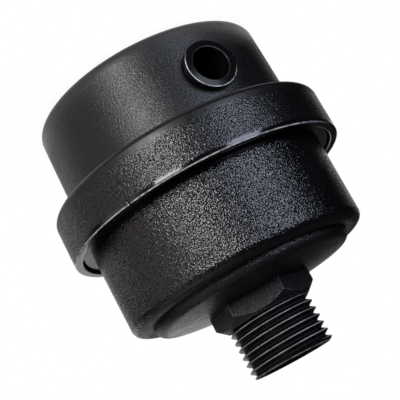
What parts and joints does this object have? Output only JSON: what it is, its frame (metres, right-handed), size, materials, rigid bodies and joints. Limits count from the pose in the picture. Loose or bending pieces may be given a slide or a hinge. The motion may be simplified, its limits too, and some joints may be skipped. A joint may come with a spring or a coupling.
{
  "type": "compressor intake filter",
  "caption": "Screw-in air intake filter for a compressor: round plastic housing with a twist-lock cover, side inlet tube, pleated element inside and a threaded hexagon outlet.",
  "frame": {"origin": "centre of the cover's flat top, which the object can rest on", "axes": "+Z along the housing's axis towards the threaded outlet, -Y along the intake tube, out of the housing"},
  "size_m": [0.069, 0.069, 0.0735],
  "materials": {
    "cover_plastic": "fine moulded grain, satin black",
    "tube_plastic": "smooth, glossy black",
    "cup_plastic": "coarse moulded grain, black",
    "seal_rubber": "plain",
    "cap_compound": "moulded soft plastic",
    "paper": "impregnated filter paper, loaded with carbon",
    "core_steel": "zinc plated"
  },
  "bodies": {
    "cup_body": {"cup": "cup_plastic", "housing_seal": "seal_rubber", "element_cap_upper": "cap_compound", "filter_paper": "paper", "element_core": "core_steel", "element_cap_lower": "cap_compound"},
    "cover_body": {"cover": "cover_plastic", "intake_tube": "tube_plastic"}
  },
  "joints": [
    {"name": "cover_twist", "type": "hinge", "parent": "cup_body", "child": "cover_body", "pos_m": [0, 0, 0.016], "axis": [0, 0, -1], "range_deg": [0, 45]}
  ]
}
